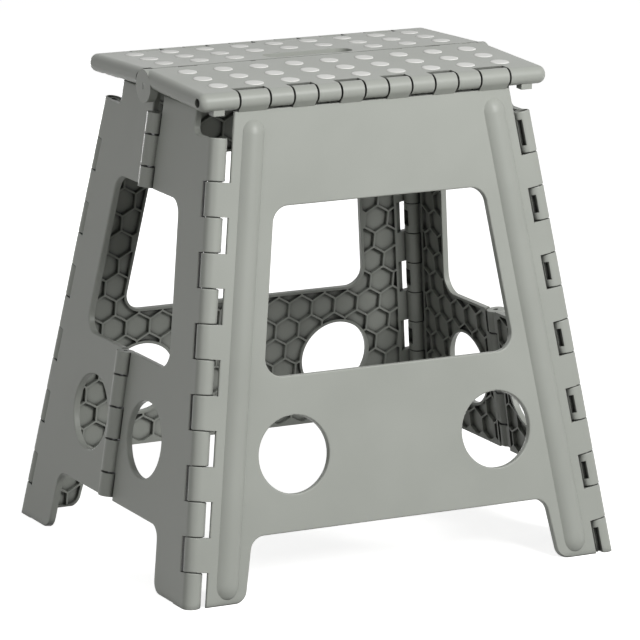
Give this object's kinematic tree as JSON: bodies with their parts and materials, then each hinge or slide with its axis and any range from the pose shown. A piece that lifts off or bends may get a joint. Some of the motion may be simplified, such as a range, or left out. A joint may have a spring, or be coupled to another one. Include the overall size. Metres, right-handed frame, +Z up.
{
  "type": "folding step stool",
  "caption": "Moulded plastic folding step stool with a dotted two-part top, ribbed leg panels with windows, bi-fold sides and a handle slot.",
  "frame": {"origin": "centre of the footprint on the floor, stool standing open", "axes": "+X along the long side of the top, front panel on -Y, +Z up"},
  "size_m": [0.3804, 0.3198, 0.3901],
  "materials": {
    "moulded_plastic": "fine satin moulding",
    "grip_dots": "soft matt",
    "pin_steel": "drawn wire"
  },
  "bodies": {
    "back_leg": {"back_leg_panel": "moulded_plastic", "back_hinge_pin": "pin_steel", "corner_pin_back_left": "pin_steel", "corner_pin_back_right": "pin_steel"},
    "front_leg": {"front_leg_panel": "moulded_plastic", "front_hinge_pin": "pin_steel", "corner_pin_front_left": "pin_steel", "corner_pin_front_right": "pin_steel"},
    "left_back": {"left_back_panel": "moulded_plastic", "mid_pin_left_upper": "pin_steel", "mid_pin_left_lower": "pin_steel"},
    "left_front": {"left_front_panel": "moulded_plastic"},
    "right_front": {"right_front_panel": "moulded_plastic", "mid_pin_right_upper": "pin_steel", "mid_pin_right_lower": "pin_steel"},
    "right_back": {"right_back_panel": "moulded_plastic"},
    "top_back": {"top_back_half": "moulded_plastic", "back_grip_dots": "grip_dots", "centre_hinge_pin": "pin_steel"},
    "top_front": {"top_front_half": "moulded_plastic", "front_grip_dots": "grip_dots"}
  },
  "joints": [
    {"name": "back_left_corner_hinge", "type": "hinge", "parent": "back_leg", "child": "left_back", "pos_m": [-0.15822, 0.12222, 0.17], "axis": [0.1392, -0.1603, 0.9772], "range_deg": [0, 90.8]},
    {"name": "left_mid_hinge", "type": "hinge", "parent": "left_back", "child": "left_front", "pos_m": [-0.16609, 0, 0.17004], "axis": [-0.141, 0, -0.99], "range_deg": [0, 178.79]},
    {"name": "front_left_corner_hinge", "type": "hinge", "parent": "left_front", "child": "front_leg", "pos_m": [-0.15822, -0.12222, 0.17], "axis": [0.1392, 0.1603, 0.9772], "range_deg": [0, 90.8]},
    {"name": "back_right_corner_hinge", "type": "hinge", "parent": "back_leg", "child": "right_back", "pos_m": [0.15822, 0.12222, 0.17], "axis": [0.1392, 0.1603, -0.9772], "range_deg": [0, 90.8]},
    {"name": "front_right_corner_hinge", "type": "hinge", "parent": "front_leg", "child": "right_front", "pos_m": [0.15822, -0.12222, 0.17], "axis": [-0.1392, 0.1603, 0.9772], "range_deg": [0, 90.8]},
    {"name": "back_top_hinge", "type": "hinge", "parent": "back_leg", "child": "top_back", "pos_m": [0, 0.09549, 0.37931], "axis": [-1, 0, 0], "range_deg": [0, 73.01]},
    {"name": "front_top_hinge", "type": "hinge", "parent": "front_leg", "child": "top_front", "pos_m": [0, -0.09549, 0.37931], "axis": [1, 0, 0], "range_deg": [0, 73.01]}
  ],
  "couplings": [
    {"joint": "left_mid_hinge", "follows": "back_left_corner_hinge", "ratio": 1.969},
    {"joint": "front_left_corner_hinge", "follows": "back_left_corner_hinge", "ratio": 1},
    {"joint": "back_right_corner_hinge", "follows": "back_left_corner_hinge", "ratio": 1},
    {"joint": "front_right_corner_hinge", "follows": "back_left_corner_hinge", "ratio": 1},
    {"joint": "back_top_hinge", "follows": "back_left_corner_hinge", "ratio": 0.804},
    {"joint": "front_top_hinge", "follows": "back_left_corner_hinge", "ratio": 0.804}
  ]
}
